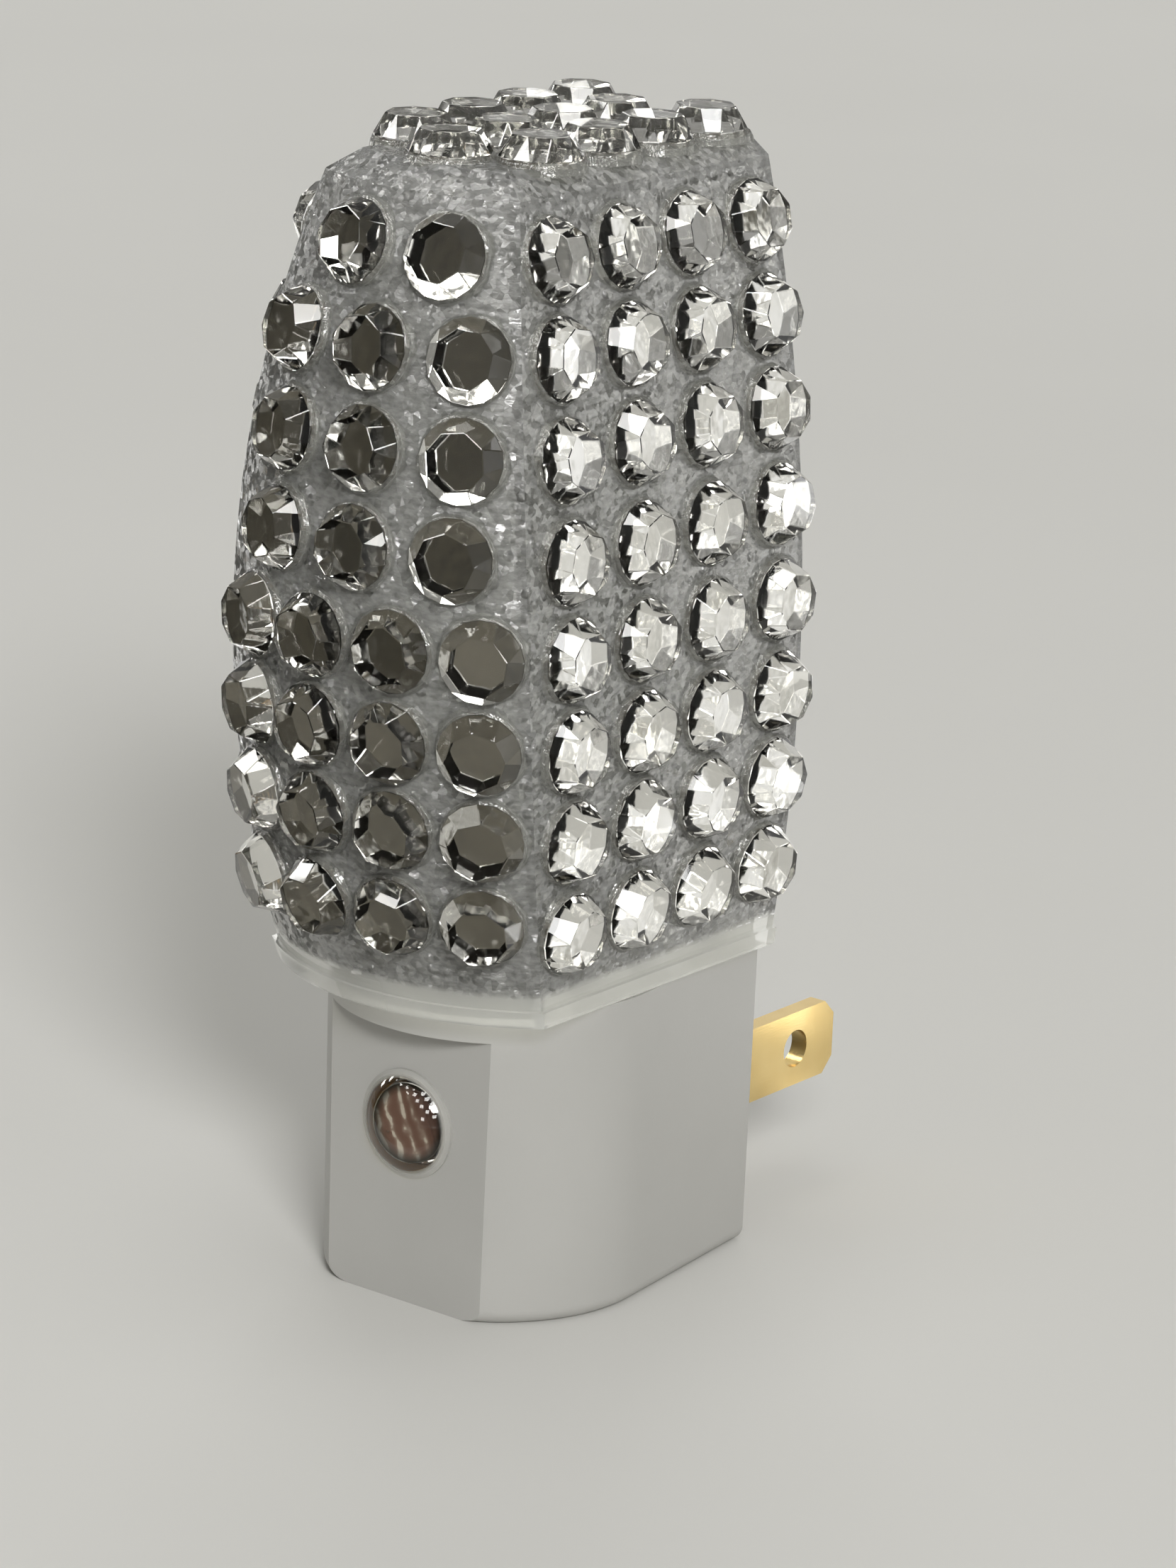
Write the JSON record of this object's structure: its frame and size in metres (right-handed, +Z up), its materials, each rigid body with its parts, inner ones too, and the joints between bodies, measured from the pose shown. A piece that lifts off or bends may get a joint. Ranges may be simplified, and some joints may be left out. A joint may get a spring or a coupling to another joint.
{
  "type": "plug-in night light",
  "caption": "Plug-in night light: white sensor base with two plug blades, candelabra lamp and a clear barrel-shaped shade covered in faceted stones.",
  "frame": {"origin": "middle of the plug face, halfway between the two blades", "axes": "+Y into the wall along the blades, +Z up, +X to the right seen from the front"},
  "size_m": [0.0336, 0.0592, 0.0925],
  "materials": {
    "white_housing": "satin",
    "white_cover": "satin",
    "blade_brass": "polished",
    "screw_steel": "satin",
    "lens_clear": "gloss",
    "cell_brown": "matt",
    "board_tan": "matt",
    "component_black": "matt",
    "resistor_beige": "satin",
    "wire_black": "matt",
    "wire_white": "matt",
    "socket_black": "matt",
    "contact_brass": "satin",
    "solder_grey": "satin",
    "lamp_black_glass": "gloss",
    "cap_nickel": "polished",
    "lamp_clear_glass": "gloss",
    "support_steel": "satin",
    "tungsten": "matt",
    "shade_clear": "gloss",
    "stone_glass": "faceted, foiled behind"
  },
  "bodies": {
    "base": {"front_housing": "white_housing", "rear_cover": "white_cover", "blade_hot": "blade_brass", "blade_neutral": "blade_brass", "cover_screws": "screw_steel", "sensor_lens": "lens_clear", "photocell": "cell_brown", "circuit_board": "board_tan", "thyristor": "component_black", "resistors": "resistor_beige", "wire_line": "wire_black", "wire_neutral": "wire_white", "wire_lamp": "wire_black", "socket_insulator": "socket_black", "socket_shell": "contact_brass", "socket_contact": "contact_brass"},
    "lamp_foot": {"lamp_tip": "solder_grey"},
    "lamp": {"lamp_insulator": "lamp_black_glass", "lamp_cap": "cap_nickel", "lamp_glass": "lamp_clear_glass", "lamp_stem": "lamp_clear_glass", "filament_supports": "support_steel", "filament": "tungsten"},
    "shade": {"shade": "shade_clear", "stones_front": "stone_glass", "stones_left": "stone_glass", "stones_right": "stone_glass", "stones_top": "stone_glass"}
  },
  "joints": [
    {"name": "shade_lift", "type": "slide", "parent": "base", "child": "shade", "axis": [0, 0, 1], "range_m": [0, 0.06]},
    {"name": "lamp_rise", "type": "slide", "parent": "base", "child": "lamp_foot", "axis": [0, 0, 1], "range_m": [0, 0.0127]},
    {"name": "lamp_turn", "type": "hinge", "parent": "lamp_foot", "child": "lamp", "pos_m": [0, -0.0154, 0.01], "axis": [0, 0, 1], "range_deg": [0, 1800]}
  ],
  "couplings": [
    {"joint": "lamp_rise", "follows": "lamp_turn", "m_per_rad": 0.00040425}
  ]
}
